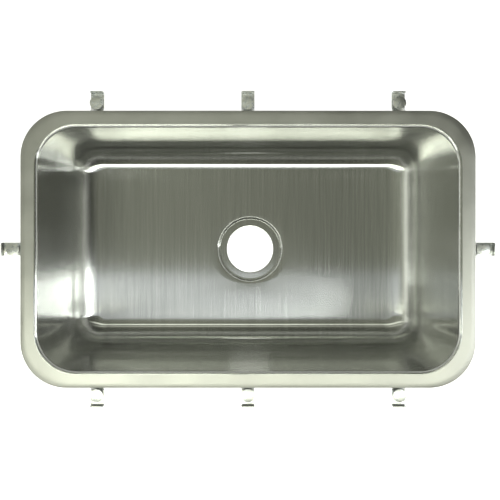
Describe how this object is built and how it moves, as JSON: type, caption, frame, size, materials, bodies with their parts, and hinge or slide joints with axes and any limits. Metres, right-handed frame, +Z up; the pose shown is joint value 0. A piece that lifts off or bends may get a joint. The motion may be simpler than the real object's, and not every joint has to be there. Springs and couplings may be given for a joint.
{
  "type": "undermount kitchen sink",
  "caption": "Single-bowl deep-drawn stainless undermount sink with a round recessed outlet hole, sound-deadening pads and swinging mounting clips with wing nuts.",
  "frame": {"origin": "centre of the opening on the flange's top plane, which is the underside of the worktop", "axes": "+X along the sink to the right, +Y to its back, +Z up"},
  "size_m": [0.75, 0.48, 0.2385],
  "materials": {
    "bowl_steel": "brushed satin",
    "pad_rubber": "matt",
    "clip_zinc": "bright zinc plate"
  },
  "bodies": {
    "root": {"bowl": "bowl_steel", "pad_floor_left": "pad_rubber", "pad_floor_right": "pad_rubber", "pad_back": "pad_rubber", "pad_front": "pad_rubber", "pad_left": "pad_rubber", "pad_right": "pad_rubber", "stud_back_left": "clip_zinc", "stud_back_middle": "clip_zinc", "stud_back_right": "clip_zinc", "stud_front_left": "clip_zinc", "stud_front_middle": "clip_zinc", "stud_front_right": "clip_zinc", "stud_left": "clip_zinc", "stud_right": "clip_zinc"},
    "carrier_back_left": {"washer_back_left": "clip_zinc"},
    "clip_body_back_left": {"clip_back_left": "clip_zinc"},
    "nut_body_back_left": {"wing_nut_back_left": "clip_zinc"},
    "carrier_back_middle": {"washer_back_middle": "clip_zinc"},
    "clip_body_back_middle": {"clip_back_middle": "clip_zinc"},
    "nut_body_back_middle": {"wing_nut_back_middle": "clip_zinc"},
    "carrier_back_right": {"washer_back_right": "clip_zinc"},
    "clip_body_back_right": {"clip_back_right": "clip_zinc"},
    "nut_body_back_right": {"wing_nut_back_right": "clip_zinc"},
    "carrier_front_left": {"washer_front_left": "clip_zinc"},
    "clip_body_front_left": {"clip_front_left": "clip_zinc"},
    "nut_body_front_left": {"wing_nut_front_left": "clip_zinc"},
    "carrier_front_middle": {"washer_front_middle": "clip_zinc"},
    "clip_body_front_middle": {"clip_front_middle": "clip_zinc"},
    "nut_body_front_middle": {"wing_nut_front_middle": "clip_zinc"},
    "carrier_front_right": {"washer_front_right": "clip_zinc"},
    "clip_body_front_right": {"clip_front_right": "clip_zinc"},
    "nut_body_front_right": {"wing_nut_front_right": "clip_zinc"},
    "carrier_left": {"washer_left": "clip_zinc"},
    "clip_body_left": {"clip_left": "clip_zinc"},
    "nut_body_left": {"wing_nut_left": "clip_zinc"},
    "carrier_right": {"washer_right": "clip_zinc"},
    "clip_body_right": {"clip_right": "clip_zinc"},
    "nut_body_right": {"wing_nut_right": "clip_zinc"}
  },
  "joints": [
    {"name": "travel_back_left", "type": "slide", "parent": "root", "child": "carrier_back_left", "axis": [0, 0, -1], "range_m": [0, 0.0127]},
    {"name": "swing_back_left", "type": "hinge", "parent": "carrier_back_left", "child": "clip_body_back_left", "pos_m": [-0.23, 0.222, -0.009], "axis": [0, 0, 1], "range_deg": [-90, 90]},
    {"name": "nut_back_left", "type": "hinge", "parent": "carrier_back_left", "child": "nut_body_back_left", "pos_m": [-0.23, 0.222, -0.0156], "axis": [0, 0, -1], "range_deg": [0, 3600]},
    {"name": "travel_back_middle", "type": "slide", "parent": "root", "child": "carrier_back_middle", "axis": [0, 0, -1], "range_m": [0, 0.0127]},
    {"name": "swing_back_middle", "type": "hinge", "parent": "carrier_back_middle", "child": "clip_body_back_middle", "pos_m": [0, 0.222, -0.009], "axis": [0, 0, 1], "range_deg": [-90, 90]},
    {"name": "nut_back_middle", "type": "hinge", "parent": "carrier_back_middle", "child": "nut_body_back_middle", "pos_m": [0, 0.222, -0.0156], "axis": [0, 0, -1], "range_deg": [0, 3600]},
    {"name": "travel_back_right", "type": "slide", "parent": "root", "child": "carrier_back_right", "axis": [0, 0, -1], "range_m": [0, 0.0127]},
    {"name": "swing_back_right", "type": "hinge", "parent": "carrier_back_right", "child": "clip_body_back_right", "pos_m": [0.23, 0.222, -0.009], "axis": [0, 0, 1], "range_deg": [-90, 90]},
    {"name": "nut_back_right", "type": "hinge", "parent": "carrier_back_right", "child": "nut_body_back_right", "pos_m": [0.23, 0.222, -0.0156], "axis": [0, 0, -1], "range_deg": [0, 3600]},
    {"name": "travel_front_left", "type": "slide", "parent": "root", "child": "carrier_front_left", "axis": [0, 0, -1], "range_m": [0, 0.0127]},
    {"name": "swing_front_left", "type": "hinge", "parent": "carrier_front_left", "child": "clip_body_front_left", "pos_m": [-0.23, -0.222, -0.009], "axis": [0, 0, 1], "range_deg": [-90, 90]},
    {"name": "nut_front_left", "type": "hinge", "parent": "carrier_front_left", "child": "nut_body_front_left", "pos_m": [-0.23, -0.222, -0.0156], "axis": [0, 0, -1], "range_deg": [0, 3600]},
    {"name": "travel_front_middle", "type": "slide", "parent": "root", "child": "carrier_front_middle", "axis": [0, 0, -1], "range_m": [0, 0.0127]},
    {"name": "swing_front_middle", "type": "hinge", "parent": "carrier_front_middle", "child": "clip_body_front_middle", "pos_m": [0, -0.222, -0.009], "axis": [0, 0, 1], "range_deg": [-90, 90]},
    {"name": "nut_front_middle", "type": "hinge", "parent": "carrier_front_middle", "child": "nut_body_front_middle", "pos_m": [0, -0.222, -0.0156], "axis": [0, 0, -1], "range_deg": [0, 3600]},
    {"name": "travel_front_right", "type": "slide", "parent": "root", "child": "carrier_front_right", "axis": [0, 0, -1], "range_m": [0, 0.0127]},
    {"name": "swing_front_right", "type": "hinge", "parent": "carrier_front_right", "child": "clip_body_front_right", "pos_m": [0.23, -0.222, -0.009], "axis": [0, 0, 1], "range_deg": [-90, 90]},
    {"name": "nut_front_right", "type": "hinge", "parent": "carrier_front_right", "child": "nut_body_front_right", "pos_m": [0.23, -0.222, -0.0156], "axis": [0, 0, -1], "range_deg": [0, 3600]},
    {"name": "travel_left", "type": "slide", "parent": "root", "child": "carrier_left", "axis": [0, 0, -1], "range_m": [0, 0.0127]},
    {"name": "swing_left", "type": "hinge", "parent": "carrier_left", "child": "clip_body_left", "pos_m": [-0.357, 0, -0.009], "axis": [0, 0, 1], "range_deg": [-90, 90]},
    {"name": "nut_left", "type": "hinge", "parent": "carrier_left", "child": "nut_body_left", "pos_m": [-0.357, 0, -0.0156], "axis": [0, 0, -1], "range_deg": [0, 3600]},
    {"name": "travel_right", "type": "slide", "parent": "root", "child": "carrier_right", "axis": [0, 0, -1], "range_m": [0, 0.0127]},
    {"name": "swing_right", "type": "hinge", "parent": "carrier_right", "child": "clip_body_right", "pos_m": [0.357, 0, -0.009], "axis": [0, 0, 1], "range_deg": [-90, 90]},
    {"name": "nut_right", "type": "hinge", "parent": "carrier_right", "child": "nut_body_right", "pos_m": [0.357, 0, -0.0156], "axis": [0, 0, -1], "range_deg": [0, 3600]}
  ],
  "couplings": [
    {"joint": "nut_back_left", "follows": "travel_back_left", "rad_per_m": 4947.4},
    {"joint": "nut_back_middle", "follows": "travel_back_middle", "rad_per_m": 4947.4},
    {"joint": "nut_back_right", "follows": "travel_back_right", "rad_per_m": 4947.4},
    {"joint": "nut_front_left", "follows": "travel_front_left", "rad_per_m": 4947.4},
    {"joint": "nut_front_middle", "follows": "travel_front_middle", "rad_per_m": 4947.4},
    {"joint": "nut_front_right", "follows": "travel_front_right", "rad_per_m": 4947.4},
    {"joint": "nut_left", "follows": "travel_left", "rad_per_m": 4947.4},
    {"joint": "nut_right", "follows": "travel_right", "rad_per_m": 4947.4}
  ]
}
